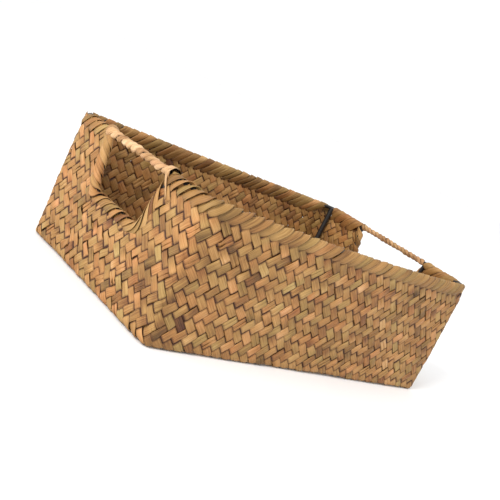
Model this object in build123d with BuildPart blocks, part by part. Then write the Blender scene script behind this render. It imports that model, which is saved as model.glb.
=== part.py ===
from build123d import *
import math
import os

# A rectangular bread basket: a skin of plaited rush strips over a welded frame of black wire,
# with the strips folded over the rim wire and a hand hole in each end under a wrapped handle.
# The origin is on the ground at the middle of the base. +X runs the long way and +Z is up.

# Driving dimensions, in millimetres
height = 124.0
top_length = 360.0         # outside at the rim, corner to corner along X
top_width = 221.0          # outside at the rim, corner to corner along Y
base_length = 356.0
base_width = 219.0
top_corner = 12.0          # outside corner radius at the rim
base_corner = 9.0
rim_bow = 11.0             # each long side of the rim swells this far out at its middle
base_bow = 1.0
rim_sag = 2.5              # and hangs this far lower there

skin = 3.0                 # two crossing layers of strips
base_edge = 1.6            # rounding of the mat's lower edge
rim_band = 14.0            # height of the strips folded over the rim
rim_thickness = 8.0        # thickness of that fold, wire included
rim_cover = 1.5            # strip over the top of the rim wire, and round the handles
corner_gap = 4.0           # bare rim wire between two borders at each corner

wire = 4.0                 # diameter of the rings and of the hole wires
post_wire = 5.5            # diameter of the corner uprights
clearance = 0.2            # air between a wire and the strips around it

hole_top = 96.0            # clear width of a hand hole at the rim
hole_foot = 76.0           # and along its lower edge
hole_sill = 72.0           # height of that lower edge
hole_corner = 9.0
hole_edge = 9.0            # reach of the strips folded round the hole
hole_lap = 3.5             # from the hole's clear edge to the middle of its wire

# Worked out from those
band_foot = height - rim_band
wire_inset = rim_thickness / 2
rim_level = height - rim_cover - wire / 2
base_wire_inset = skin + clearance + wire / 2
hole_wire_x = (3 * top_length + base_length) / 8 - wire_inset
hole_slope = (hole_top - hole_foot) / 2 / (height - hole_sill)
mean_x = (top_length + base_length) / 4
mean_y = (top_width + base_width) / 4
outside = 60.0             # reach of a cutting shape past the skin

ends = {"left": -1, "right": 1}
sides = {"front": -1, "back": 1}


def basket_block(inset):
    """The basket's outer shape as one block, drawn in by inset all round."""
    with BuildPart() as block:
        for level, length, width, bow, corner in (
            (0, base_length, base_width, base_bow, base_corner),
            (height, top_length, top_width, rim_bow, top_corner),
        ):
            x = length / 2 - inset
            y = width / 2 - inset
            with BuildSketch(Plane.XY.offset(level)):
                with BuildLine():
                    ThreePointArc((-x, -y), (0, -y - bow), (x, -y))
                    Line((x, -y), (x, y))
                    ThreePointArc((x, y), (0, y + bow), (-x, y))
                    Line((-x, y), (-x, -y))
                make_face()
                fillet(vertices(), corner - inset)
        loft(ruled=True)
    return block.part


def wedge(x, y, trim=0.0):
    """The part of space that one side of the basket stands in, between two corners.

    x and y pick the side, as in (0, -1) for the front; trim draws both its ends in.
    """
    with BuildPart() as space:
        with BuildSketch():
            with BuildLine():
                if x == 0:
                    far = mean_x + outside - trim
                    near = mean_x - outside - trim
                    Polyline(
                        (-far, y * (mean_y + outside)),
                        (far, y * (mean_y + outside)),
                        (near, y * (mean_y - outside)),
                        (-near, y * (mean_y - outside)),
                        close=True,
                    )
                else:
                    far = mean_y + outside - trim
                    near = mean_y - outside - trim
                    Polyline(
                        (x * (mean_x + outside), -far),
                        (x * (mean_x + outside), far),
                        (x * (mean_x - outside), near),
                        (x * (mean_x - outside), -near),
                        close=True,
                    )
            make_face()
        extrude(amount=height + outside)
    return space.part


def hand_hole(grow=0.0):
    """A block through both ends with the hand hole's outline, open upwards, grown all round."""
    top = height + outside
    top_reach = hole_top / 2 + hole_slope * outside
    with BuildPart() as hole:
        with BuildSketch(Plane.YZ):
            with BuildLine():
                Polyline(
                    (-hole_foot / 2, hole_sill),
                    (hole_foot / 2, hole_sill),
                    (top_reach, top),
                    (-top_reach, top),
                    close=True,
                )
            make_face()
            fillet(vertices().group_by(Axis.Y)[0], hole_corner)
            if grow > 0:
                offset(amount=grow)
        extrude(amount=top_length, both=True)
    return hole.part


def ring_path(length, width, bow, sag, corner, level):
    """Centre line of a ring: long sides bowed out and down, round corners, straight ends."""
    x = length / 2
    y = width / 2
    chord = x - corner                             # half the chord of a long side
    swell = math.hypot(bow, sag)
    lean = 2 * math.atan2(swell, chord)            # how far a long side has turned at its ends
    bow_share = math.sin(lean) * bow / swell
    sag_share = math.sin(lean) * sag / swell
    turned = math.acos(bow_share)                  # what is left to turn at each corner
    reach = corner / math.cos(lean)
    end_y = y - reach * (1 + bow_share)
    side_level = level - reach * sag_share
    with BuildLine() as path:
        for half in (1, -1):                       # the second half is the first turned about Z
            ThreePointArc(
                (-half * chord, -half * y, side_level),
                (0, -half * (y + bow), side_level - sag),
                (half * chord, -half * y, side_level),
            )
            TangentArc(
                (half * chord, -half * y, side_level),
                (half * x, -half * end_y, level),
                tangent=(half * math.cos(lean), half * bow_share, sag_share),
            )
            Line((half * x, -half * end_y, level), (half * x, half * end_y, level))
            TangentArc(
                (half * x, half * end_y, level),
                (half * chord, half * y, side_level),
                tangent=(0, half, 0),
            )
    return path.wire()


def hole_path(x):
    """Centre line of a hole wire: down one side of the hole, along its foot and up again."""
    lap = hole_lap / math.cos(math.atan(hole_slope))
    foot = hole_sill - hole_lap
    foot_y = hole_foot / 2 + lap - hole_slope * hole_lap
    top_y = hole_foot / 2 + lap + hole_slope * (rim_level - hole_sill)
    with BuildLine(Plane.YZ.offset(x)) as path:
        FilletPolyline(
            (-top_y, rim_level),
            (-foot_y, foot),
            (foot_y, foot),
            (top_y, rim_level),
            radius=hole_corner + hole_lap,
        )
    return path.wire()


def bent_wire(path, diameter):
    """Round wire along a path of lines and arcs, made stretch by stretch."""
    with BuildPart() as bent:
        for stretch in path.edges():
            with BuildSketch(Plane(origin=stretch @ 0, z_dir=stretch % 0)):
                Circle(diameter / 2)
            sweep(path=stretch)
    return bent.part


def post_plane(x, y):
    """Where the upright of one corner starts, its Z running up along it."""
    corner_reach = skin + clearance + post_wire / 2
    foot_reach = (base_corner - corner_reach) / math.sqrt(2) - base_corner
    head_reach = (top_corner - corner_reach) / math.sqrt(2) - top_corner
    foot = Vector(
        x * (base_length / 2 + foot_reach), y * (base_width / 2 + foot_reach), base_wire_inset
    )
    head = Vector(x * (top_length / 2 + head_reach), y * (top_width / 2 + head_reach), rim_level)
    return Plane(origin=foot, z_dir=head - foot), (head - foot).length


def upright(x, y, diameter):
    """Straight round wire from the base ring up to the rim ring at one corner."""
    plane, length = post_plane(x, y)
    with BuildPart() as post:
        with BuildSketch(plane):
            Circle(diameter / 2)
        extrude(amount=length)
    return post.part


rim_path = ring_path(
    top_length - 2 * wire_inset,
    top_width - 2 * wire_inset,
    rim_bow,
    rim_sag,
    top_corner - wire_inset,
    rim_level,
)
base_path = ring_path(
    base_length - 2 * base_wire_inset,
    base_width - 2 * base_wire_inset,
    base_bow,
    0,
    base_corner - base_wire_inset,
    base_wire_inset,
)
outer_block = basket_block(0)
skin_block = basket_block(skin)
fold_block = basket_block(rim_thickness)
hole_block = hand_hole()
edging_block = hand_hole(hole_edge)

os.makedirs("parts", exist_ok=True)

# The frame: two rings, four uprights and a bent wire round each hand hole, all welded
with BuildPart() as rim_wire:
    add(bent_wire(rim_path, wire))
rim_wire.part.label = "rim_wire"
export_step(rim_wire.part, "parts/rim_wire.step")

with BuildPart() as base_wire:
    add(bent_wire(base_path, wire))
base_wire.part.label = "base_wire"
export_step(base_wire.part, "parts/base_wire.step")

for side, y in sides.items():
    for end, x in ends.items():
        with BuildPart() as post:
            add(upright(x, y, post_wire))
            add(rim_wire.part, mode=Mode.SUBTRACT)
            add(base_wire.part, mode=Mode.SUBTRACT)
        name = f"{side}_{end}_post"
        post.part.label = name
        export_step(post.part, f"parts/{name}.step")

for end, x in ends.items():
    with BuildPart() as hole_wire:
        add(bent_wire(hole_path(x * hole_wire_x), wire))
        add(rim_wire.part, mode=Mode.SUBTRACT)
    name = f"{end}_hole_wire"
    hole_wire.part.label = name
    export_step(hole_wire.part, f"parts/{name}.step")

# The woven skin: a base mat, and four walls that stand on its edge
with BuildPart() as base_mat:
    add(outer_block)
    split(bisect_by=Plane.XY.offset(skin), keep=Keep.BOTTOM)
    fillet(base_mat.faces().sort_by(Axis.Z)[0].edges(), base_edge)
base_mat.part.label = "base_mat"
export_step(base_mat.part, "parts/base_mat.step")

with BuildPart() as wall_ring:
    add(outer_block)
    add(skin_block, mode=Mode.SUBTRACT)
    split(bisect_by=Plane.XY.offset(skin), keep=Keep.TOP)
    split(bisect_by=Plane.XY.offset(band_foot), keep=Keep.BOTTOM)

for side, y in sides.items():
    with BuildPart() as long_wall:
        add(wall_ring.part)
        add(wedge(0, y), mode=Mode.INTERSECT)
    name = f"{side}_wall"
    long_wall.part.label = name
    export_step(long_wall.part, f"parts/{name}.step")

for end, x in ends.items():
    with BuildPart() as end_wall:
        add(wall_ring.part)
        add(wedge(x, 0), mode=Mode.INTERSECT)
        add(edging_block, mode=Mode.SUBTRACT)
    name = f"{end}_wall"
    end_wall.part.label = name
    export_step(end_wall.part, f"parts/{name}.step")

# What the folded strips are cut back to, so that the wires pass through them freely
with BuildPart() as wire_channels:
    add(bent_wire(rim_path, wire + 2 * clearance))
    for x in ends.values():
        add(bent_wire(hole_path(x * hole_wire_x), wire + 2 * clearance))
        for y in sides.values():
            add(upright(x, y, post_wire + 2 * clearance))

# The strips folded over the rim, in six stretches between the corners and the handles
with BuildPart() as sag_cut:
    with BuildSketch(Plane.XZ):
        with BuildLine():
            ThreePointArc(
                (-top_length / 2, height), (0, height - rim_sag), (top_length / 2, height)
            )
            Polyline(
                (top_length / 2, height),
                (top_length / 2, height + outside),
                (-top_length / 2, height + outside),
                (-top_length / 2, height),
            )
        make_face()
    extrude(amount=top_width, both=True)

with BuildPart() as rim_ring:
    add(outer_block)
    add(fold_block, mode=Mode.SUBTRACT)
    split(bisect_by=Plane.XY.offset(band_foot), keep=Keep.TOP)
    add(sag_cut.part, mode=Mode.SUBTRACT)
    add(wire_channels.part, mode=Mode.SUBTRACT)

trim = corner_gap / math.sqrt(2)
for side, y in sides.items():
    with BuildPart() as long_border:
        add(rim_ring.part)
        add(wedge(0, y, trim), mode=Mode.INTERSECT)
    name = f"{side}_rim_border"
    long_border.part.label = name
    export_step(long_border.part, f"parts/{name}.step")
    for end, x in ends.items():
        with BuildPart() as short_border:
            add(rim_ring.part)
            add(wedge(x, 0, trim), mode=Mode.INTERSECT)
            add(hole_block, mode=Mode.SUBTRACT)
            split(bisect_by=Plane.XZ, keep=Keep.TOP if y < 0 else Keep.BOTTOM)
        name = f"{end}_{side}_rim_border"
        short_border.part.label = name
        export_step(short_border.part, f"parts/{name}.step")

# The strips folded round the sides and the foot of each hand hole
for end, x in ends.items():
    with BuildPart() as edging:
        add(outer_block)
        add(fold_block, mode=Mode.SUBTRACT)
        split(bisect_by=Plane.XY.offset(band_foot), keep=Keep.BOTTOM)
        add(wedge(x, 0), mode=Mode.INTERSECT)
        add(edging_block, mode=Mode.INTERSECT)
        add(hole_block, mode=Mode.SUBTRACT)
        add(wire_channels.part, mode=Mode.SUBTRACT)
    name = f"{end}_hole_edging"
    edging.part.label = name
    export_step(edging.part, f"parts/{name}.step")

# The rush wound round the bare span of the rim wire over each hole
wrap_foot = rim_level - wire / 2 - rim_cover
wrap_length = hole_foot + 2 * hole_slope * (wrap_foot - hole_sill) - 2 * clearance
for end, x in ends.items():
    with BuildPart() as wrap:
        wrap_start = Plane(
            origin=(x * (top_length / 2 - wire_inset), -wrap_length / 2, rim_level), z_dir=(0, 1, 0)
        )
        with BuildSketch(wrap_start):
            Circle(wire / 2 + rim_cover)
            Circle(wire / 2 + clearance / 2, mode=Mode.SUBTRACT)
        extrude(amount=wrap_length)
    name = f"{end}_handle_wrap"
    wrap.part.label = name
    export_step(wrap.part, f"parts/{name}.step")
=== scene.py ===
import math
import bpy
import numpy as np
from mathutils import Matrix, Vector


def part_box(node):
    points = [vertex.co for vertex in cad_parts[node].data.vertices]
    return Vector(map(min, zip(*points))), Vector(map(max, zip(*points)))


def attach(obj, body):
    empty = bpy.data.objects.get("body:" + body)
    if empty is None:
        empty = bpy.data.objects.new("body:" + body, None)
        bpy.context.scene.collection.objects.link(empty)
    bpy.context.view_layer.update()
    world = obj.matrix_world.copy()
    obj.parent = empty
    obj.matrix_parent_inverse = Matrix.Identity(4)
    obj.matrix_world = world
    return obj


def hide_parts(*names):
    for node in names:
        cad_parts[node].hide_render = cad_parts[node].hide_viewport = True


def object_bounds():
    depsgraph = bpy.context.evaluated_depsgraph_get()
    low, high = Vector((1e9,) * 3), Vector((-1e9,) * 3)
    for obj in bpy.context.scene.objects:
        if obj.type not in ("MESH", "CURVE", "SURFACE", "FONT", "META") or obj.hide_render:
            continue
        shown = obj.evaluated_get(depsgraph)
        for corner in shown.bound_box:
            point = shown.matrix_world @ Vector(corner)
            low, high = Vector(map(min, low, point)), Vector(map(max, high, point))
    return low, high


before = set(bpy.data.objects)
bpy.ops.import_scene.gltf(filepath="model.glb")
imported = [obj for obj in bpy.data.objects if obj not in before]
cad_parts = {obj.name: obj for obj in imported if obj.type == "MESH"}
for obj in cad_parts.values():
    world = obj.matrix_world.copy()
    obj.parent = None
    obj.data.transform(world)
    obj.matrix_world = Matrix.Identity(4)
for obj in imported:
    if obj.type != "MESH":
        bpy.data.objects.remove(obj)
cadLow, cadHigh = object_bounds()
print("frame loaded")

mm = 0.001

# How the rush is plaited, and how the finished basket stands
plait = {
    "longSteps": 35,         # strips of one slant along a long side
    "shortSteps": 21,        # and along an end
    "wallSteps": 12,         # steps of the plait up a wall
    "twillShift": 2,         # sets which slant lies on top in the row under the rim
    "lastRow": 22,           # from this half step up, the rising strips belong to the rim border
    "skin": 2.6 * mm,        # two layers of strips
    "rise": 0.88 * mm,       # how far a strip stands off the middle of the skin
    "thickness": 0.6 * mm,
    "crown": 0.32 * mm,      # how much lower a strip's edges are than its middle
    "width": 1.07,           # strip width over the room it has
    "pinch": 0.03,           # how much of it is lost where the strip lies outside
    "splitShare": 0.11,      # share of strips that have split lengthwise
    "foldRadius": 3.5 * mm,  # bottom edge
    "footCorner": 6.0 * mm,  # upright corners, at the foot and at the rim
    "rimCorner": 10.0 * mm,
    "rimBow": 11.6 * mm,     # the long sides swell outwards at the rim
    "rimSag": 2.5 * mm,      # and hang a little lower there
    "evenRim": 40.0 * mm,    # how far below the rim the wire keeps the plait even
    "wobble": 0.5 * mm,      # unevenness of the whole skin
    "rimWobble": 0.15,       # share of it left at the rim
    "waves": 7,              # added up for it, with lengths in mm between these
    "waveLengths": (35, 120),
    "pastEnd": 0.5 * mm,     # the middle of the skin lies this far outside the end walls' width
    "footRoom": 0.45 * mm,   # keeps the thickest crossings of the mat off the table
    "leftRough": 2.0,        # the left end is plaited this much less evenly
    "stainShare": 0.06,      # share of strips with a dark purplish stretch
    "stainCrossings": 5,
    "stainTone": 0.25,       # how much darker it is
    "stainWarmth": 0.4,      # and how much redder
    "tone": (0.52, 0.08, 0.09),      # middle, spread between strips, spread along a strip
    "warmth": (0.42, 0.2, 0.12),
    "gapShade": (0.45, 1.5),         # least and most shade where a strip goes under another
    "puffSpread": 0.15,      # of how far the strips stand off
    "leanSpread": 0.22,      # of how far their edges tilt, in mm
    "widthSpread": 0.035,
    "driftSpread": (0.02, 0.035),    # sideways: slowly along a strip, and at each crossing
    "splitPlace": 0.35,      # furthest place of a split from the middle of a strip
    "risingStop": 0.1,       # steps from the border's row to the end of a rising strip
    "fallingStop": 0.35,     # and from the rim to the end of a falling one
    "seed": 7,
}

matLow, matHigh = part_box("base_mat")
endLow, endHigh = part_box("left_wall")
height = cadHigh[2] - cadLow[2]
skinMiddle = plait["skin"] / 2
halfTop = (cadHigh[0] - cadLow[0]) / 2 - skinMiddle
halfBase = (matHigh[0] - matLow[0]) / 2 - skinMiddle
halfWide = (endHigh[1] - endLow[1]) / 2 + plait["pastEnd"]
ringSteps = 2 * (plait["longSteps"] + plait["shortSteps"])
edgeSteps = (plait["longSteps"], plait["shortSteps"]) * 2
edgeStart = np.cumsum((0,) + edgeSteps)
stepX = 2 * halfBase / plait["longSteps"]
stepY = 2 * halfWide / plait["shortSteps"]
stepZ = (height - skinMiddle) / plait["wallSteps"]
halfPitch = stepX / math.sqrt(2) / 2      # half the room one strip has across it
rng = np.random.default_rng(plait["seed"])

# Edges in order round the basket: front, right, back, left
edgeAlong = ((1, 0), (0, 1), (-1, 0), (0, -1))
edgeInward = ((0, 1), (-1, 0), (0, -1), (1, 0))
edgeCorner = ((-1, -1), (1, -1), (1, 1), (-1, 1))

waves = plait["waves"]
waveGain = 2.6            # makes up for what the mean of several waves loses
waveLength = rng.uniform(*plait["waveLengths"], (3, waves, 1)) * mm
waveTurn = rng.normal(0, 1, (3, waves, 3))
waveTurn *= 2 * math.pi / waveLength / np.linalg.norm(waveTurn, axis=2, keepdims=True)
wavePhase = rng.uniform(0, 2 * math.pi, (3, waves))


def wobble(points):       # slow unevenness, the same for every strip that passes a place
    shift = [np.sin(points @ waveTurn[axis].T + wavePhase[axis]).mean(axis=-1)
             for axis in range(3)]
    return np.stack(shift, axis=-1) * plait["wobble"] * waveGain


def skinPoint(edge, s, t):
    # s counts strips along an edge; t counts steps up the wall, or inwards on the mat if below 0
    s, t = np.broadcast_arrays(np.asarray(s, float), np.asarray(t, float))
    around = (edgeStart[edge] + s) % ringSteps
    cornersX = np.array((-1, 1, 1, -1, -1)) * halfBase
    cornersY = np.array((-1, -1, 1, 1, -1)) * halfWide
    x = np.interp(around, edgeStart, cornersX)
    y = np.interp(around, edgeStart, cornersY)
    onWall = t >= 0
    cornerX, cornerY = edgeCorner[edge]
    alongX, alongY = edgeAlong[edge]
    inwardX, inwardY = edgeInward[edge]
    matX = cornerX * halfBase + (s * alongX - t * inwardX) * stepX
    matY = cornerY * halfWide + (s * alongY - t * inwardY) * stepY
    x = np.where(onWall, x, np.clip(matX, -halfBase, halfBase))
    y = np.where(onWall, y, np.clip(matY, -halfWide, halfWide))
    z = np.where(onWall, t * stepZ, 0.0)
    depth = np.where(onWall, 0.0, np.minimum(halfBase - abs(x), halfWide - abs(y)))

    # round the bottom edge
    fold = plait["foldRadius"]
    nearFold = (depth < fold) & (z < fold)
    depth = np.where(nearFold, depth, 0.0)
    reach = np.where(nearFold, np.hypot(fold - depth, fold - z), 1.0)
    newDepth = np.where(nearFold, fold - (fold - depth) * fold / reach, 0.0)
    z = np.where(nearFold, fold - (fold - z) * fold / reach, z)
    x = x * (halfBase - newDepth) / (halfBase - depth)
    y = y * (halfWide - newDepth) / (halfWide - depth)

    # round the upright corners
    up = z / height
    corner = plait["footCorner"] + (plait["rimCorner"] - plait["footCorner"]) * up
    overX = np.clip(abs(x) - (halfBase - corner), 0, None)
    overY = np.clip(abs(y) - (halfWide - corner), 0, None)
    both = (overX > 0) & (overY > 0)
    slanted = np.where(both, np.hypot(overX, overY), 1.0)
    pull = np.where(both, np.maximum(overX, overY) / slanted, 1.0)
    x = np.sign(x) * (abs(x) - overX * (1 - pull))
    y = np.sign(y) * (abs(y) - overY * (1 - pull))

    # widen towards the rim, swell and sag
    bow = 1 - (x / halfBase) ** 2
    sideways = abs(y) / halfWide
    x = x * (1 + (halfTop / halfBase - 1) * up)
    y = y + np.sign(y) * sideways * bow * plait["rimBow"] * up
    z = z - plait["rimSag"] * up * bow * sideways ** 2 + skinMiddle
    points = np.stack([x, y, z], axis=-1)
    # the plait is less even further away from the wires
    free = np.clip((height - points[..., 2]) / plait["evenRim"], plait["rimWobble"], 1)
    points = points + wobble(points) * free[..., None]
    # and it lies flat where it stands on the table
    points[..., 2] = np.maximum(points[..., 2], skinMiddle + plait["footRoom"])
    return points


def skinFrame(edge, s, t):        # a point of the skin and the way out of the basket there
    probe = 0.06
    here = skinPoint(edge, s, t)
    along = skinPoint(edge, s + probe, t) - skinPoint(edge, s - probe, t)
    upward = skinPoint(edge, s, t + probe) - skinPoint(edge, s, t - probe)
    outward = np.cross(along, upward)
    return here, outward / np.linalg.norm(outward, axis=-1, keepdims=True)


# Eight corners round a strip: places across it, and how far each stands off its middle
acrossTop = np.array((-1.0, -0.8, 0.0, 0.8, 1.0))
acrossLow = np.array((0.8, 0.0, -0.8))
acrossRing = np.concatenate([acrossTop, acrossLow])
lensRing = np.array((0.0, 0.36, 0.5, 0.36, 0.0, -0.36, -0.5, -0.36))
ringSize = len(acrossRing)


class Strips:             # gathers strips into one mesh
    def __init__(self):
        self.points, self.faces, self.uv = [], [], []
        self.tone, self.warmth, self.dip = [], [], []
        self.count = 0

    def add(self, rings, along, tone, warmth, dip):
        # rings: (n, 8, 3) points; along: length so far; tone, warmth, dip (painted shade): one number
        # a ring
        n = len(rings)
        if n < 2:
            return
        start = self.count
        index = start + np.arange(n * ringSize).reshape(n, ringSize)
        after = np.roll(index, -1, axis=1)
        quads = np.stack([index[:-1], after[:-1], after[1:], index[1:]], axis=-1).reshape(-1, 4)
        middle = rings.mean(axis=1)
        flow = middle[1] - middle[0]
        # corner 2 is the middle of the outer face, 6 that of the inner one
        turn = np.cross(rings[0, 2] - rings[0, 0], rings[0, 2] - rings[0, 6])
        if np.dot(turn, flow) > 0:
            quads = quads[:, ::-1]
            caps = (index[0], index[-1][::-1])
        else:
            caps = (index[0][::-1], index[-1])
        self.faces.append((quads, caps))
        self.points.append(rings.reshape(-1, 3))
        lengthwise, across = np.broadcast_arrays(along[:, None], acrossRing[None, :])
        self.uv.append(np.stack([lengthwise, across], axis=-1).reshape(-1, 2))
        self.tone.append(np.repeat(tone, ringSize))
        self.warmth.append(np.repeat(warmth, ringSize))
        self.dip.append(np.repeat(dip, ringSize))
        self.count += n * ringSize

    def piece(self, name):
        quads = np.concatenate([q for q, caps in self.faces])
        caps = [c for q, pair in self.faces for c in pair]
        capCorners = np.concatenate(caps)
        corners = np.concatenate([quads.ravel(), capCorners]).astype(np.int32)
        sizes = np.concatenate([np.full(len(quads), 4), np.full(len(caps), ringSize)])
        starts = np.concatenate([[0], np.cumsum(sizes)[:-1]]).astype(np.int32)
        mesh = bpy.data.meshes.new(name)
        points = np.concatenate(self.points).astype(np.float32)
        mesh.vertices.add(len(points))
        mesh.vertices.foreach_set("co", points.ravel())
        mesh.loops.add(len(corners))
        mesh.loops.foreach_set("vertex_index", corners)
        mesh.polygons.add(len(sizes))
        mesh.polygons.foreach_set("loop_start", starts)
        mesh.polygons.foreach_set("use_smooth", np.ones(len(sizes), bool))
        mesh.update(calc_edges=True)
        mesh.validate()
        uv = mesh.uv_layers.new(name="along").data
        uv.foreach_set("uv", np.concatenate(self.uv)[corners].astype(np.float32).ravel())
        for title, values in (("tone", self.tone), ("warmth", self.warmth), ("dip", self.dip)):
            layer = mesh.attributes.new(title, "FLOAT", "POINT")
            layer.data.foreach_set("value", np.concatenate(values).astype(np.float32))
        made = bpy.data.objects.new(name, mesh)
        bpy.context.scene.collection.objects.link(made)
        return made


def stripRings(centre, outward, lift, tilt, thick, bulge):
    # centre, outward: (n, 8, 3) at the ring's places across; lift, tilt, thick, bulge: (n,)
    across = acrossRing[None, :]
    rise = lift[:, None] - bulge[:, None] * across ** 2 + tilt[:, None] * across
    rise = rise + lensRing[None, :] * thick[:, None]
    return centre + outward * rise[..., None]


# The plaited walls and mat

def stripEnds(index):
    # both feet of a strip, as edge, place along it and whether it rises to the right, and
    # the steps it runs over the mat between them
    edge = int(np.searchsorted(edgeStart, index + 0.5) - 1)
    s = index + 0.5 - edgeStart[edge]
    depth = edgeSteps[(edge + 1) % 4]
    if s <= depth:        # over one corner of the mat, to the edge before
        last = (edge - 1) % 4
        return (edge, s, True), (last, edgeSteps[last] - s, False), s
    last = (edge + 2) % 4
    if edge == 0:         # right across the mat
        return (edge, s, True), (last, edgeSteps[edge] - (s - depth), True), depth
    s = edgeSteps[edge] - s
    return (edge, s, False), (last, edgeSteps[edge] - (s + depth), False), depth


def matPlace(edge, s, t):             # lattice place on the mat
    longer, shorter = plait["longSteps"], plait["shortSteps"]
    return ((s, -t), (longer + t, s), (longer - s, shorter + t), (-t, shorter - s))[edge]


def onTop(edge, s, halfStep, rising):
    # whether the strip lies on the outside where it crosses the others
    if halfStep >= 0:
        turn = (halfStep + plait["twillShift"]) % 4
        if halfStep >= plait["lastRow"]:
            return rising
        return (turn < 2) == rising
    along, inward = matPlace(edge, s, halfStep / 2)
    gaps = (inward, plait["longSteps"] - along, plait["shortSteps"] - inward, along)
    nearest = int(np.argmin(gaps))
    turn = (round(-2 * gaps[nearest]) + plait["twillShift"]) % 4
    slant = (edge % 2 == 0) == rising
    return (turn < 2) == (slant == (nearest % 2 == 0))


samples = np.array((0.0, 0.2, 0.36, 0.5, 0.64, 0.8))     # rows between two crossings
edgeNames = ("front", "right", "back", "left")
leftEdge = edgeNames.index("left")
regions = {name: Strips() for name in edgeNames + ("base",)}
topStep = plait["lastRow"] / 2


def easeBetween(values, place):       # passes quickly from one crossing's value to the next
    hold = 0.2                        # share of the way that stays level at each crossing
    low = np.clip(np.floor(place).astype(int), 0, len(values) - 2)
    f = np.clip((place - low - hold) / (1 - 2 * hold), 0, 1)
    f = f * f * (3 - 2 * f)
    return values[low] * (1 - f) + values[low + 1] * f


def layStrip(index):
    first, second, run = stripEnds(index)
    runHalf = int(round(run * 2))
    upHalf = plait["wallSteps"] * 2
    # crossings from the rim on one side, down, over the mat and up to the rim on the other
    total = upHalf + runHalf + upHalf
    state = np.zeros(total + 1)
    rough = np.ones(total + 1)
    for n in range(total + 1):
        inFirst = n <= upHalf + runHalf // 2
        edge, s, rising = first if inFirst else second
        halfStep = upHalf - n if inFirst else n - upHalf - runHalf
        if edge == leftEdge and halfStep >= 0:
            rough[n] = plait["leftRough"]
        across = s + (halfStep if rising else -halfStep) / 2
        state[n] = 1 if onTop(edge, across, halfStep, rising) else -1
    puff = 1 + rng.normal(0, plait["puffSpread"], total + 1) * rough
    lean = rng.normal(0, plait["leanSpread"], total + 1) * mm * rough
    tone, warmth = (rng.normal(mean, between) + rng.normal(0, within, total + 1)
                    for mean, between, within in (plait["tone"], plait["warmth"]))
    # painted shade where a strip goes under another, stronger on the rougher left end
    gap = rng.uniform(*plait["gapShade"], total + 1) * rough ** 0.4
    if rng.random() < plait["stainShare"]:
        stainStart = rng.integers(0, total - 6)
        stain = slice(stainStart, stainStart + plait["stainCrossings"])
        tone[stain] -= plait["stainTone"]
        warmth[stain] += plait["stainWarmth"]
    tone = np.clip(tone, 0, 1)
    warmth = np.clip(warmth, 0, 1)
    slowDrift, crossingDrift = plait["driftSpread"]
    drift = np.cumsum(rng.normal(0, slowDrift, total + 1))
    drift = (drift - drift.mean()) * 0.5 + rng.normal(0, crossingDrift, total + 1)

    place = (np.arange(total)[:, None] + samples[None, :]).ravel()
    place = np.append(place, total)
    level = easeBetween(state, place)     # 1 on the outside of the skin, -1 on the inside
    lift = easeBetween(state * puff, place) * plait["rise"]
    bulge = level * plait["crown"]
    shade, tilt, toneAt, warmAt, shift = (np.interp(place, np.arange(total + 1), values)
                                          for values in (gap, lean, tone, warmth, drift))
    # painted shade, deepest where the strip passes through the skin under a crossing one
    dip = np.clip(1 - abs(level), 0, 1) * shade
    width = plait["width"] * rng.normal(1, plait["widthSpread"])
    parts = [(0.0, width)]                # middle and width of each part of the strip
    if rng.random() < plait["splitShare"]:
        cut = rng.uniform(-plait["splitPlace"], plait["splitPlace"])
        parts = [((cut - 1) / 2, (1 + cut) / 2 * width), ((cut + 1) / 2, (1 - cut) / 2 * width)]

    firstHalf = place <= upHalf + runHalf / 2
    t = np.where(firstHalf, (upHalf - place) / 2, (place - upHalf - runHalf) / 2)
    keep = np.where(firstHalf, t < topStep - plait["risingStop"],
                    t < plait["wallSteps"] - plait["fallingStop"])
    places = [edgeStart[edge] + s + (t if rising else -t) for edge, s, rising in (first, second)]
    around = np.where(firstHalf, *places) % ringSteps
    tucked = nearHole(around, t, holeShape["foldReach"])
    lift = np.where(tucked, -plait["rise"], lift)
    rows = len(place)
    for middle, share in parts:
        # a strip's own width runs square to its slant: half of it is a quarter step each way
        slim = 1 - plait["pinch"] * level[:, None]
        a = (middle + acrossRing[None, :] * share) * slim * 0.25 + shift[:, None] * 0.5
        centre = np.zeros((rows, ringSize, 3))
        outward = np.zeros((rows, ringSize, 3))
        halves = ((firstHalf, first, 1), (~firstHalf, second, -1))
        for pick, (edge, s, rising), facing in halves:
            slant = 1 if rising else -1
            side = a[pick] * facing
            sHere = s + slant * t[pick][:, None] + side
            tHere = t[pick][:, None] - slant * side
            centre[pick], outward[pick] = skinFrame(edge, sHere, tHere)
        rings = stripRings(centre, outward, lift, tilt + middle * lean[0] * 0.5,
                           np.full(rows, plait["thickness"]), bulge)
        along = place * stepX / math.sqrt(2) + index * 0.37      # own stretch of fibres each
        # share the strip out between the walls and the mat
        onMat = len(edgeNames)
        owner = np.where(t < -0.1, onMat, np.searchsorted(edgeStart, around, side="right") - 1)
        live = keep & ~nearHole(around, t, holeShape["cutBack"])
        begin = 0
        for row in range(1, rows + 1):
            if row < rows and owner[row] == owner[row - 1] and live[row] == live[row - 1]:
                continue
            if live[begin]:
                stop = row + 1 if row < rows and live[row] else row
                name = "base" if owner[begin] == onMat else edgeNames[owner[begin]]
                chosen = np.arange(begin, stop)
                if name == "base":            # half as many rows are enough where it lies flat
                    even = (chosen % len(samples)) % 2 == 0
                    even[0] = even[-1] = True
                    chosen = chosen[even]
                regions[name].add(rings[chosen], along[chosen], toneAt[chosen],
                                  warmAt[chosen], dip[chosen])
            begin = row


# The hand holes: clear width at the foot and at the rim
holeShape = {
    "footHalf": 38.0 * mm,
    "rimHalf": 48.0 * mm,
    "corner": 9.0 * mm,
    "foldReach": 9.0 * mm,   # how far out the folded edging comes
    "cutBack": 3.6 * mm,     # the plait ends this far outside the clear edge
}
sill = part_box("left_hole_edging")[0][2] + holeShape["foldReach"]
holeSlope = (holeShape["rimHalf"] - holeShape["footHalf"]) / (height - sill)


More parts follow.
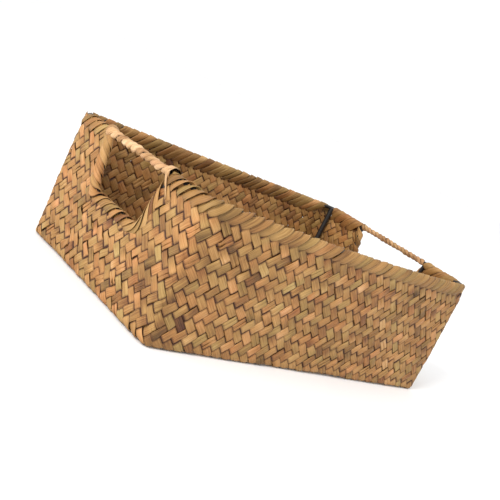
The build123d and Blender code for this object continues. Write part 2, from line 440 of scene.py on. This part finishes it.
def nearHole(around, t, margin):      # whether a place lies in a hole grown by the margin
    z = t * stepZ + skinMiddle
    onLeft = around > edgeStart[leftEdge]
    onEnd = onLeft | ((around > edgeStart[1]) & (around < edgeStart[2]))
    middle = np.where(onLeft, edgeStart[leftEdge], edgeStart[1]) + plait["shortSteps"] / 2
    y = abs(around - middle) * stepY
    room = holeShape["footHalf"] + holeSlope * (z - sill) + margin
    lowest = sill - margin
    r = holeShape["corner"] + margin
    inCorner = (y > room - r) & (z < lowest + r)
    pastCorner = inCorner & (np.hypot(y - room + r, z - lowest - r) > r)
    return onEnd & (z > lowest) & (y < room) & ~pastCorner & (t >= 0)


for index in range(ringSteps):
    layStrip(index)
weave = {name: strips.piece(name + "Weave") for name, strips in regions.items()}
print("woven:", {name: len(o.data.polygons) for name, o in weave.items()})


# Strips folded over the rim and round the hand holes

sectionSteps = 160


def smoothLine(places, count=sectionSteps):     # even steps along a smooth curve through places
    places = np.array(places, float) * mm
    padded = np.vstack([2 * places[0] - places[1], places, 2 * places[-1] - places[-2]])
    perSpan = 12
    f = np.linspace(0, 1, perSpan, endpoint=False)[:, None]
    runs = []
    for n in range(len(places) - 1):
        a, b, c, d = padded[n:n + 4]
        runs.append(b + 0.5 * ((c - a) * f + (2 * a - 5 * b + 4 * c - d) * f ** 2
                               + (3 * b - a - 3 * c + d) * f ** 3))
    fine = np.vstack(runs + [places[-1:]])
    length = np.concatenate([[0], np.cumsum(np.linalg.norm(np.diff(fine, axis=0), axis=1))])
    even = np.linspace(0, length[-1], count)
    line = np.stack([np.interp(even, length, fine[:, k]) for k in (0, 1)], axis=1)
    # straight on beyond both ends by a quarter of its length
    ahead = (line[-1] - line[-2]) * count / 4
    before = (line[0] - line[1]) * count / 4
    beyond = even[1] * count / 4
    return (np.vstack([line[0] + before, line, line[-1] + ahead]),
            np.concatenate([[-beyond], even, [even[-1] + beyond]]))


rimFold = {
    # out from the skin, up from the rim: outside, over the wire, down the inside
    "section": ((-0.7, -15.5), (-0.2, -13.6), (1.0, -11.8), (1.3, -8.5), (1.1, -5.2), (0.3, -2.6),
                (-1.2, -0.9), (-2.9, -0.8), (-4.6, -2.2), (-5.2, -4.8), (-4.4, -8.8), (-2.8, -12.5),
                (-1.7, -15.5), (-0.7, -17.5)),
    "width": 1.16,           # over the room a strip has
    "thickness": 0.7 * mm,
    "crown": 0.25 * mm,
    "shingle": 0.5 * mm,     # each strip's lower edge stands off by this
    "taper": 0.35,           # how much narrower a strip gets towards its ends
    "slitStrip": (0, 14),    # edge and number of a strip that leaves a slit beside it
    "slit": 0.34,            # share of that strip's width
    "loose": 1.9,            # extra lift of the strips near the front left corner
    "looseRun": 8.0,         # and how many strips away from it that fades
    "leftLoose": 0.7,        # extra lift along the left end
    "tone": (0.46, 0.12),
    "warmth": 0.3,
    "farWarmth": 0.2,        # on the long sides, away from the front left corner
    "farFrom": 20,           # strips
    "bareCorners": (1, 2, 3),        # where the wire shows between two borders
    "cornerBare": 0.75,      # steps left free on both sides of such a corner
    "skipPast": 2.5 * mm,    # no strip starts so near the hole
    "cutPast": 1.0 * mm,     # and none reaches so near it
    "rows": 34,
    "seed": 21,
}


# How unlike one another the folded strips are; lengths in mm
foldSpread = {
    "width": 0.09,
    "wander": 0.4,           # sideways
    "lift": 0.08,
    "creep": 0.001,          # slow change of the lift along a strip
    "tilt": 0.35,
    "warmth": 0.2,
    "endShade": 0.8,         # darkness at both ends of a strip
}


def sectionAt(curve, lengths, at):
    return [np.interp(at, lengths, curve[:, k]) for k in (0, 1)]


def foldedStrip(place, start, slope, reach, look, draws, store, looseness=1.0, warmth=None,
                topLimit=1.0, clearHalf=0.0, squeeze=0.0):
    # place(q, l) gives points for a distance q along the fold and l across it
    step = 0.4 * mm
    rows = look["rows"]
    l = np.linspace(0, reach, rows)
    q = start + slope * l
    lean = math.hypot(1, slope)
    ends = abs(np.linspace(-1, 1, rows))
    taper = 1 - look["taper"] * ends ** 3
    half = (look["width"] * halfPitch * draws.normal(1, foldSpread["width"]) * taper)[:, None]
    knots = np.arange(4)
    wander = np.interp(np.linspace(0, 3, rows), knots, draws.normal(0, foldSpread["wander"], 4)) * mm
    a = acrossRing[None, :] * half * (1 - squeeze) + half * squeeze + wander[:, None]
    shingle = look["shingle"] * looseness
    qAt = q[:, None] + a / lean
    lAt = l[:, None] - a * slope / lean
    here = place(qAt, lAt)
    outward = np.cross(place(qAt + step, lAt) - place(qAt - step, lAt),
                       place(qAt, lAt + step) - place(qAt, lAt - step))
    outward /= np.linalg.norm(outward, axis=-1, keepdims=True)
    tip = np.sin(np.linspace(0, math.pi, rows)) ** 0.35
    lift = draws.normal(0, foldSpread["lift"]) * mm * np.ones(rows)
    lift = lift + draws.normal(0, foldSpread["creep"], rows).cumsum() * mm
    tilt = shingle * draws.normal(1, foldSpread["tilt"]) * tip
    rings = stripRings(here, outward, lift, tilt, np.full(rows, look["thickness"]),
                       np.full(rows, look["crown"]))
    tone = np.clip(np.interp(l, (0, reach / 2, reach), draws.normal(*look["tone"], 3)), 0, 1)
    middle = look["warmth"] if warmth is None else warmth
    warmAt = np.clip(np.full(rows, draws.normal(middle, foldSpread["warmth"])), 0, 1)
    dip = foldSpread["endShade"] * ends ** 6
    keep = (rings[..., 2].max(axis=1) < topLimit) & (abs(rings[..., 1]).min(axis=1) >= clearHalf)
    turns = np.flatnonzero(np.diff(np.concatenate([[0], keep.astype(int), [0]])))
    for first, last in turns.reshape(-1, 2):
        run = slice(first, last)
        store.add(rings[run], (l * lean + start)[run], tone[run], warmAt[run], dip[run])


def rimPlace(edge, curve, lengths):
    def place(q, l):
        out, up = sectionAt(curve, lengths, l)
        s = q / stepX
        t = (height + up - skinMiddle) / stepZ
        here, outward = skinFrame(edge, s, t)
        return here + outward * out[..., None]
    return place


rimCurve, rimLengths = smoothLine(rimFold["section"])
rimReach = rimLengths[-2]
overTop = rimLengths[np.argmax(rimCurve[:, 1])]       # from a strip's foot to the top of the wire
draws = np.random.default_rng(rimFold["seed"])
rimStores = {}
foldStep = (height + rimCurve[1, 1] - skinMiddle) / stepZ     # where a strip leaves the plait
for edge in range(4):
    place = rimPlace(edge, rimCurve, rimLengths)
    bareBefore, bareAfter = (corner % 4 in rimFold["bareCorners"] for corner in (edge, edge + 1))
    for n in range(edgeSteps[edge]):
        start = (n + 0.5 + foldStep) * stepX
        # the strip that crosses the top of the wire over this stretch of the edge
        shift = round((start + overTop) / stepX - (n + 0.5))
        start -= shift * stepX
        top = (start + overTop) / stepX
        toNext = edgeSteps[edge] - top
        if bareBefore and top < rimFold["cornerBare"] or bareAfter and toNext < rimFold["cornerBare"]:
            continue
        name = edgeNames[edge]
        atEnd = edge % 2 == 1
        if atEnd:
            y = (top - edgeSteps[edge] / 2) * stepY
            if abs(y) < holeShape["rimHalf"] + rimFold["skipPast"]:
                continue
            towards = ("front", "back") if edge == 1 else ("back", "front")
            name += towards[int(y > 0)].capitalize()
        store = rimStores.setdefault(name, Strips())
        fromCorner = {0: top, leftEdge: toNext}.get(edge, rimFold["farFrom"])
        looseness = 1 + rimFold["loose"] * math.exp(-(fromCorner / rimFold["looseRun"]) ** 2)
        if edge == leftEdge:
            looseness += rimFold["leftLoose"]
        near = atEnd or fromCorner < rimFold["farFrom"]
        foldedStrip(place, start, 1.0, rimReach, rimFold, draws, store, looseness,
                    warmth=rimFold["warmth" if near else "farWarmth"],
                    clearHalf=holeShape["rimHalf"] + rimFold["cutPast"] if atEnd else 0.0,
                    squeeze=rimFold["slit"] if (edge, n) == rimFold["slitStrip"] else 0.0)
rimBorders = {name: store.piece(name + "Border") for name, store in rimStores.items()}
print("rim borders:", {name: len(o.data.polygons) for name, o in rimBorders.items()})

holeFold = {
    # away from the hole, out from the skin: outside, round the wire, back along the inside
    "section": ((12.5, -0.8), (10.8, -0.3), (9.0, 0.9), (6.5, 1.35), (3.6, 1.2), (1.4, 0.1),
                (0.5, -1.6), (0.6, -3.2), (1.8, -4.7), (4.0, -5.1), (6.5, -4.3), (9.2, -2.7),
                (11.2, -1.7), (12.8, -0.8)),
    "width": 1.12,
    "thickness": 0.7 * mm,
    "crown": 0.25 * mm,
    "shingle": 1.15 * mm,
    "taper": 0.55,
    "underRim": 3.0 * mm,    # the strips end this far below the rim
    "footSlope": 1.0,        # slant of the strips along the sill
    "sideSlope": 1.5,        # up the sides towards the front
    "backSlope": 1.0,        # up the sides towards the back
    "footGap": 9.6 * mm,     # from one strip to the next
    "sideGap": 8.0 * mm,
    "gapSpread": (0.92, 1.1),
    "firstStrip": 10.0 * mm, # along the edge from the rim
    "lastStrip": 12.0 * mm,  # and back from the rim at its other end
    "turnBefore": 6.0 * mm,  # the slant starts to change this far up a side
    "turnOver": 14.0 * mm,   # and over this length
    "tone": (0.5, 0.16),
    "warmth": 0.4,
    "rows": 40,
    "seed": 5,
}


def holeOutline():        # the clear edge, from the rim down one side, over the sill and up again
    foot, rim, r = holeShape["footHalf"], holeShape["rimHalf"], holeShape["corner"]
    lean = math.atan(holeSlope)
    turn = math.pi / 2 - lean
    setBack = r * math.tan(turn / 2)
    angles = np.linspace(0, turn, 9)
    arc = np.stack([foot - setBack + r * np.sin(angles), sill + r * (1 - np.cos(angles))], axis=1)
    right = np.vstack([arc, [[rim, height]]])
    onward = right[-1] + (right[-1] - right[-2]) * 1.5      # well past the rim
    right = np.vstack([right, onward])
    left = right[::-1] * (-1, 1)
    line = np.vstack([left, right])
    lengths = np.concatenate([[0], np.cumsum(np.linalg.norm(np.diff(line, axis=0), axis=1))])
    return line, lengths - lengths[1]


outline, outlineLengths = holeOutline()


def outlineAt(q):
    y, z = sectionAt(outline, outlineLengths, q)
    # a little way to either side gives a smooth way out at the corners
    reach = 5.0 * mm
    ahead = sectionAt(outline, outlineLengths, q + reach)
    behind = sectionAt(outline, outlineLengths, q - reach)
    flowY, flowZ = ahead[0] - behind[0], ahead[1] - behind[1]
    size = np.hypot(flowY, flowZ)
    return y, z, flowZ / size, -flowY / size


def holePlace(edge, curve, lengths):
    def place(q, l):
        away, out = sectionAt(curve, lengths, l)
        y, z, awayY, awayZ = outlineAt(q)
        s = edgeSteps[edge] / 2 + (y + awayY * away) / stepY
        t = (z + awayZ * away - skinMiddle) / stepZ
        here, outward = skinFrame(edge, s, t)
        return here + outward * out[..., None]
    return place


holeCurve, holeLengths = smoothLine(holeFold["section"])
overEdge = holeLengths[np.argmin(holeCurve[:, 0])]    # from a strip's foot to the clear edge
edgeLength = outlineLengths[-2]
sideLength = math.hypot(holeShape["rimHalf"] - holeShape["footHalf"], height - sill)
draws = np.random.default_rng(holeFold["seed"])
holeEdgings = {}
for edge in (1, leftEdge):
    place = holePlace(edge, holeCurve, holeLengths)
    store = Strips()
    q = holeFold["firstStrip"]
    while q < edgeLength - holeFold["lastStrip"]:
        pastSide = min(q, edgeLength - q) - sideLength + holeFold["turnBefore"]
        sideways = 1 - min(1, max(0, pastSide / holeFold["turnOver"]))
        towardsFront = (q > edgeLength / 2) == (edge == leftEdge)
        steep = holeFold["sideSlope" if towardsFront else "backSlope"]
        slope = holeFold["footSlope"] + (steep - holeFold["footSlope"]) * sideways
        start = q - slope * overEdge
        foldedStrip(place, start, slope, holeLengths[-2], holeFold, draws, store,
                    topLimit=height - holeFold["underRim"])
        gap = holeFold["footGap"] + (holeFold["sideGap"] - holeFold["footGap"]) * sideways
        q += gap * draws.uniform(*holeFold["gapSpread"])
    holeEdgings[edgeNames[edge]] = store.piece(edgeNames[edge] + "HoleEdging")
print("hole edgings:", {name: len(o.data.polygons) for name, o in holeEdgings.items()})


# Rush wound round the handles

wrapLook = {
    "left": {
        "starts": 2,             # strips wound side by side
        "pitch": 17.0 * mm,      # advance of one strip in a turn
        "inner": 2.0 * mm,       # radius where two turns meet
        "puff": 1.3 * mm,        # how much further out the middle of a turn stands
        "lap": 0.55 * mm,        # how far one edge stands off over the next turn
        "jitter": 1.0 * mm,
        "rough": 0.2 * mm,
        "past": 6.0 * mm,        # how far it is wound over the borders at its ends
        "flare": 2.3 * mm,       # thicker there
        "turn": 1,
        "tone": (0.55, 0.2),
        "seed": 14,
    },
    "right": {
        "starts": 2,
        "pitch": 12.0 * mm,
        "inner": 1.75 * mm,
        "puff": 1.0 * mm,
        "lap": 0.2 * mm,
        "jitter": 0.3 * mm,
        "rough": 0.08 * mm,
        "past": 1.0 * mm,
        "flare": 0.5 * mm,
        "turn": -1,
        "tone": (0.34, 0.14),
        "seed": 15,
    },
    "thickness": 0.6 * mm,
    "width": 1.08,               # of a strip, over the room it has
    "knots": 3,                  # places in a turn where a strip changes
    "swellSpread": 0.3,
    "lapSpread": 0.5,
    "warmth": (0.35, 0.2),
    "endSlack": 1.5 * mm,        # the strips are cut off this far past the winding
    "turnSteps": 22,
}
# The loose end beside the left hole
tailLook = {
    "length": 21.0 * mm,
    "width": 4.6 * mm,
    "slim": 0.75,                # how much of it is lost towards the tip
    "start": 4.0 * mm,           # past the winding
    "slant": 12.0 * mm,          # and onwards while it hangs down
    "belowRim": 1.0 * mm,
    "off": 1.9 * mm,             # stands off the skin
    "wave": 0.6 * mm,
    "tilt": 0.3 * mm,
    "crown": 0.3 * mm,
    "tone": 0.6,
    "warmth": 0.3,
    "rows": 16,
}


def hangTail(store, front):               # it comes out over the rim and hangs down
    rows = tailLook["rows"]
    way = np.linspace(0, 1, rows)
    drop = tailLook["length"] * way
    s = edgeSteps[leftEdge] / 2 + (-front - tailLook["start"] + tailLook["slant"] * way) / stepY
    t = (height - tailLook["belowRim"] - drop - skinMiddle) / stepZ
    half = tailLook["width"] / 2 / stepY * (1 - tailLook["slim"] * way ** 2)
    here, outward = skinFrame(leftEdge, s[:, None] + acrossRing[None, :] * half[:, None], t[:, None])
    off = tailLook["off"] + tailLook["wave"] * np.sin(way * 5)
    tilt, thick, crown, tone, warmth = (
        np.full(rows, value) for value in (tailLook["tilt"], wrapLook["thickness"],
                                           tailLook["crown"], tailLook["tone"], tailLook["warmth"]))
    rings = stripRings(here, outward, off, tilt, thick, crown)
    store.add(rings, drop, tone, warmth, np.zeros(rows))


def windHandle(side):
    look = wrapLook[side]
    low, high = (list(corner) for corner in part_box(side + "_handle_wrap"))
    low[1] -= look["past"]
    high[1] += look["past"]
    x, z = (low[0] + high[0]) / 2, (low[2] + high[2]) / 2
    draws = np.random.default_rng(look["seed"])
    store = Strips()
    length = high[1] - low[1]
    turns = (length + look["pitch"]) / look["pitch"]
    rows = int(turns * wrapLook["turnSteps"])
    turn = np.linspace(0, turns, rows)
    changes = ((0, 1), (1, wrapLook["swellSpread"]), (1, wrapLook["lapSpread"]),
               look["tone"], wrapLook["warmth"])
    for number in range(look["starts"]):
        share = number / look["starts"]
        axial = low[1] - look["pitch"] * (0.5 - share) + turn * look["pitch"]
        halfWidth = look["pitch"] / look["starts"] * wrapLook["width"] / 2
        knots = np.arange(int(turns * wrapLook["knots"]) + 4)
        jitter, swell, lap, tone, warmth = (
            np.interp(turn * wrapLook["knots"], knots, draws.normal(mean, spread, len(knots)))
            for mean, spread in changes)
        y = axial[:, None] + jitter[:, None] * look["jitter"] + acrossRing[None, :] * halfWidth
        y = np.clip(y, low[1] - wrapLook["endSlack"], high[1] + wrapLook["endSlack"])
        radius = look["inner"] + look["puff"] * (1 - acrossRing[None, :] ** 2) * swell[:, None]
        radius = radius + look["lap"] * lap[:, None] * (acrossRing[None, :] + 1) / 2
        radius = radius + lensRing[None, :] * wrapLook["thickness"]
        radius = radius + draws.normal(0, look["rough"], rows)[:, None]
        # thicker over the ends of the borders
        toEnd = np.minimum(y - low[1], high[1] - y) / (look["past"] + 2 * mm)
        radius = radius + look["flare"] * np.clip(1.3 - toEnd, 0, 1) ** 2
        angle = look["turn"] * turn[:, None] * 2 * math.pi
        rings = np.stack([x + radius * np.cos(angle), y, z + radius * np.sin(angle)], axis=-1)
        along = turn * 20 * mm            # length of strip in a turn
        store.add(rings, along, np.clip(tone, 0, 1), np.clip(warmth, 0, 1), np.zeros(rows))
    if side == "left":
        hangTail(store, low[1])
    return store.piece(side + "HandleWrap")


handleWraps = {side: windHandle(side) for side in ("left", "right")}
print("handles wound")


# Materials

def noise(nodes, scale, detail):
    node = nodes.new("ShaderNodeTexNoise")
    node.inputs["Scale"].default_value = scale
    node.inputs["Detail"].default_value = detail
    return node


def roughen(nodes, links, shader, height, strength, depth):
    node = nodes.new("ShaderNodeBump")
    node.inputs["Strength"].default_value = strength
    node.inputs["Distance"].default_value = depth
    links.new(height, node.inputs["Height"])
    links.new(node.outputs[0], shader.inputs["Normal"])


def rushMaterial(name, look):
    material = bpy.data.materials.new(name)
    material.use_nodes = True
    nodes, links = material.node_tree.nodes, material.node_tree.links
    nodes.clear()
    out = nodes.new("ShaderNodeOutputMaterial")
    shader = nodes.new("ShaderNodeBsdfPrincipled")
    links.new(shader.outputs[0], out.inputs[0])

    def attribute(title):
        node = nodes.new("ShaderNodeAttribute")
        node.attribute_name = title
        return node.outputs["Fac"]

    tone, warmth = attribute("tone"), attribute("warmth")
    uv = nodes.new("ShaderNodeUVMap")
    uv.uv_map = "along"

    stretch = nodes.new("ShaderNodeMapping")
    stretch.inputs["Scale"].default_value = (look["fibreAlong"], look["fibreAcross"], 1)
    links.new(uv.outputs[0], stretch.inputs[0])
    fibre = noise(nodes, 1.0, 4.0)
    fibre.inputs["Roughness"].default_value = look["fibreRoughness"]
    links.new(stretch.outputs[0], fibre.inputs["Vector"])

    blotch = noise(nodes, look["blotchScale"], 3.0)
    place = nodes.new("ShaderNodeTexCoord")
    links.new(place.outputs["Object"], blotch.inputs["Vector"])

    def combine(kind, first, second, clamp=False):
        node = nodes.new("ShaderNodeMath")
        node.operation = kind
        node.use_clamp = clamp
        for slot, value in enumerate((first, second)):
            if isinstance(value, (int, float)):
                node.inputs[slot].default_value = value
            else:
                links.new(value, node.inputs[slot])
        return node.outputs[0]

    fibreShift, blotchShift = (
        combine("MULTIPLY", combine("SUBTRACT", node.outputs["Fac"], 0.5), strength)
        for node, strength in ((fibre, look["fibreTone"]), (blotch, look["blotchTone"])))
    level = combine("ADD", combine("ADD", tone, fibreShift), blotchShift, True)

    def ramp(colours, factor):
        node = nodes.new("ShaderNodeValToRGB")
        stops = node.color_ramp.elements
        stops.remove(stops[1])
        for n, (position, colour) in enumerate(colours):
            element = stops[0] if n == 0 else stops.new(position)
            element.position = position
            element.color = (*colour, 1)
        links.new(factor, node.inputs[0])
        return node.outputs[0]

    cool = ramp(look["coolColours"], level)
    warm = ramp(look["warmColours"], level)
    mix = nodes.new("ShaderNodeMix")
    mix.data_type = "RGBA"
    links.new(combine("ADD", warmth, blotchShift, True), mix.inputs["Factor"])
    links.new(cool, mix.inputs["A"])
    links.new(warm, mix.inputs["B"])
    # dirt and painted shade along the edges, and painted shade where a strip goes under another
    split = nodes.new("ShaderNodeSeparateXYZ")
    links.new(uv.outputs[0], split.inputs[0])
    nearEdge = combine("POWER", combine("ABSOLUTE", split.outputs[1], 0), look["edgePower"])
    dirtAndShade = combine("ADD", combine("MULTIPLY", nearEdge, look["edgeDirtAndShade"]),
                    combine("MULTIPLY", attribute("dip"), look["dipShade"]), True)
    dark = nodes.new("ShaderNodeMix")
    dark.data_type = "RGBA"
    links.new(dirtAndShade, dark.inputs["Factor"])
    links.new(mix.outputs["Result"], dark.inputs["A"])
    dark.inputs["B"].default_value = (*look["dirtAndShade"], 1)
    links.new(dark.outputs["Result"], shader.inputs["Base Color"])

    roughen(nodes, links, shader, fibre.outputs["Fac"], look["bump"], look["bumpDepth"])
    shader.inputs["Roughness"].default_value = look["roughness"]
    shader.inputs["Specular IOR Level"].default_value = look["specular"]
    return material


def linear(red, green, blue):         # from the 0 to 255 scale of a colour chart
    return tuple(((c / 255 + 0.055) / 1.055) ** 2.4 if c > 10 else c / 255 / 12.92
                 for c in (red, green, blue))


rushLook = {
    "fibreAlong": 30.0,      # fibres in a metre of strip
    "fibreAcross": 6.0,      # and in half its width
    "fibreRoughness": 0.6,
    "fibreTone": 1.3,
    "blotchScale": 45.0,
    "blotchTone": 0.35,
    "bump": 0.9,
    "bumpDepth": 0.25 * mm,
    "roughness": 0.6,
    "specular": 0.35,
    "edgeDirtAndShade": 0.1,        # dirt and painted shade along the edges of a strip
    "edgePower": 8,          # how close to the edge it keeps
    "dipShade": 1.25,        # painted shade where a strip goes under
    # dark brown of the dirt and the painted shade
    "dirtAndShade": linear(60, 28, 11),
    "coolColours": (
        (0.0, linear(66, 43, 20)), (0.3, linear(122, 91, 48)), (0.55, linear(153, 121, 68)),
        (0.8, linear(173, 142, 86)), (1.0, linear(194, 166, 112)),
    ),
    "warmColours": (
        (0.0, linear(66, 32, 20)), (0.3, linear(134, 80, 42)), (0.55, linear(172, 115, 64)),
        (0.8, linear(196, 137, 88)), (1.0, linear(216, 166, 122)),
    ),
}
paleLook = {
    **rushLook,
    # the wound strips get dirt and painted shade at their edges, where the turns meet, and no painted
    # shade at dips
    "edgeDirtAndShade": 0.9,
    "dipShade": 0.0,
    "coolColours": (
        (0.0, linear(112, 80, 44)), (0.35, linear(166, 130, 84)), (0.65, linear(198, 160, 112)),
        (1.0, linear(220, 190, 146)),
    ),
    "warmColours": (
        (0.0, linear(112, 70, 42)), (0.35, linear(176, 124, 84)), (0.65, linear(208, 160, 120)),
        (1.0, linear(228, 190, 154)),
    ),
}
rushPlait = rushMaterial("rushPlait", rushLook)
rushFold = rushMaterial("rushFold", rushLook)
paleRush = rushMaterial("paleRush", paleLook)


def wireMaterial(name, look):
    material = bpy.data.materials.new(name)
    material.use_nodes = True
    nodes, links = material.node_tree.nodes, material.node_tree.links
    shader = nodes["Principled BSDF"]
    place = nodes.new("ShaderNodeTexCoord")
    grain = noise(nodes, look["grainScale"], 5.0)
    links.new(place.outputs["Object"], grain.inputs["Vector"])
    colour = nodes.new("ShaderNodeValToRGB")
    for stop, (position, shade) in zip(colour.color_ramp.elements, look["colours"]):
        stop.position = position
        stop.color = (*shade, 1)
    links.new(grain.outputs["Fac"], colour.inputs[0])
    links.new(colour.outputs[0], shader.inputs["Base Color"])
    roughen(nodes, links, shader, grain.outputs["Fac"], look["bump"], look["bumpDepth"])
    shader.inputs["Roughness"].default_value = look["roughness"]
    return material


wireLook = {
    "grainScale": 700.0,
    "colours": ((0.35, linear(20, 19, 19)), (0.75, linear(44, 40, 38))),     # paint, worn paint
    "bump": 0.4,
    "bumpDepth": 0.15 * mm,
    "roughness": 0.48,
}
blackWire = wireMaterial("blackWire", wireLook)
wireNodes = ["rim_wire", "base_wire", "left_hole_wire", "right_hole_wire"]
wireNodes += [side + end for side in ("front_", "back_") for end in ("left_post", "right_post")]
for name in wireNodes:
    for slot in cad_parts[name].material_slots:
        slot.material = blackWire


def dress(piece, material, slot, *nodes):
    piece.data.materials.append(material)
    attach(piece, "root")
    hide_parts(*nodes)


dress(weave["base"], rushPlait, "rush_strip", "base_mat")
for name in edgeNames:
    dress(weave[name], rushPlait, "rush_strip", name + "_wall")
for name in ("front", "back"):
    dress(rimBorders[name], rushFold, "rush_fold", name + "_rim_border")
for end in ("left", "right"):
    for side in ("front", "back"):
        border = rimBorders[end + side.capitalize()]
        dress(border, rushFold, "rush_fold", end + "_" + side + "_rim_border")
    dress(holeEdgings[end], rushFold, "rush_fold", end + "_hole_edging")
    dress(handleWraps[end], paleRush, "pale_rush", end + "_handle_wrap")
print("materials on")

# Floor, light and camera
studio = {
    "floorSize": 40.0,
    "floorGrey": 0.93,
    "floorRoughness": 0.9,
    "skyStrength": 1.08,
    "keySize": 0.8,
    "keyEnergy": 57,
    "keyPlace": (-2.3, -0.7, 1.6),
    "keyTarget": (0, 0, 0.05),
}
bpy.ops.mesh.primitive_plane_add(size=studio["floorSize"], location=(0, 0, 0))
floor = bpy.context.object
floor.name = "floor"
floorPaint = bpy.data.materials.new("floorPaint")
floorPaint.use_nodes = True
floorShader = floorPaint.node_tree.nodes["Principled BSDF"]
floorShader.inputs["Base Color"].default_value = (*[studio["floorGrey"]] * 3, 1)
floorShader.inputs["Roughness"].default_value = studio["floorRoughness"]
floor.data.materials.append(floorPaint)

world = bpy.data.worlds.new("studio")
world.use_nodes = True
sky = world.node_tree.nodes["Background"]
sky.inputs[0].default_value = (1, 1, 1, 1)
sky.inputs[1].default_value = studio["skyStrength"]
bpy.context.scene.world = world
bpy.context.scene.view_settings.view_transform = "Standard"

light = bpy.data.lights.new("keyLight", "AREA")
light.size = studio["keySize"]
light.energy = studio["keyEnergy"]
lamp = bpy.data.objects.new("keyLight", light)
lamp.location = studio["keyPlace"]
aim = Vector(studio["keyTarget"]) - Vector(studio["keyPlace"])
lamp.rotation_euler = aim.to_track_quat("-Z", "Y").to_euler()
bpy.context.scene.collection.objects.link(lamp)

cameraPlace = {
    "azimuth": -43.7,        # degrees, from the front towards the left end
    "elevation": 10.2,
    "roll": 26.12,
    "distance": 0.786,
    "panAcross": 16.9 * mm,
    "panUp": 63.7 * mm,
    "lens": 57.25,
    "sensor": 36,
    "clipStart": 0.01,
}
azimuth, elevation, roll = (math.radians(cameraPlace[k]) for k in ("azimuth", "elevation", "roll"))
level = math.cos(elevation)
back = Vector((math.sin(azimuth) * level, -math.cos(azimuth) * level, math.sin(elevation)))
right = (-back).cross(Vector((0, 0, 1))).normalized()
up = right.cross(-back)
rolledRight = right * math.cos(roll) + up * math.sin(roll)
rolledUp = -right * math.sin(roll) + up * math.cos(roll)
camera = bpy.data.objects.new("camera", bpy.data.cameras.new("camera"))
camera.data.lens = cameraPlace["lens"]
camera.data.sensor_width = cameraPlace["sensor"]
camera.data.clip_start = cameraPlace["clipStart"]
place = back * cameraPlace["distance"]
place += rolledRight * cameraPlace["panAcross"] + rolledUp * cameraPlace["panUp"]
turned = Matrix((rolledRight, rolledUp, back)).transposed().to_4x4()
camera.matrix_world = Matrix.Translation(place) @ turned
bpy.context.scene.collection.objects.link(camera)
bpy.context.scene.camera = camera
print("floor, light and camera set")
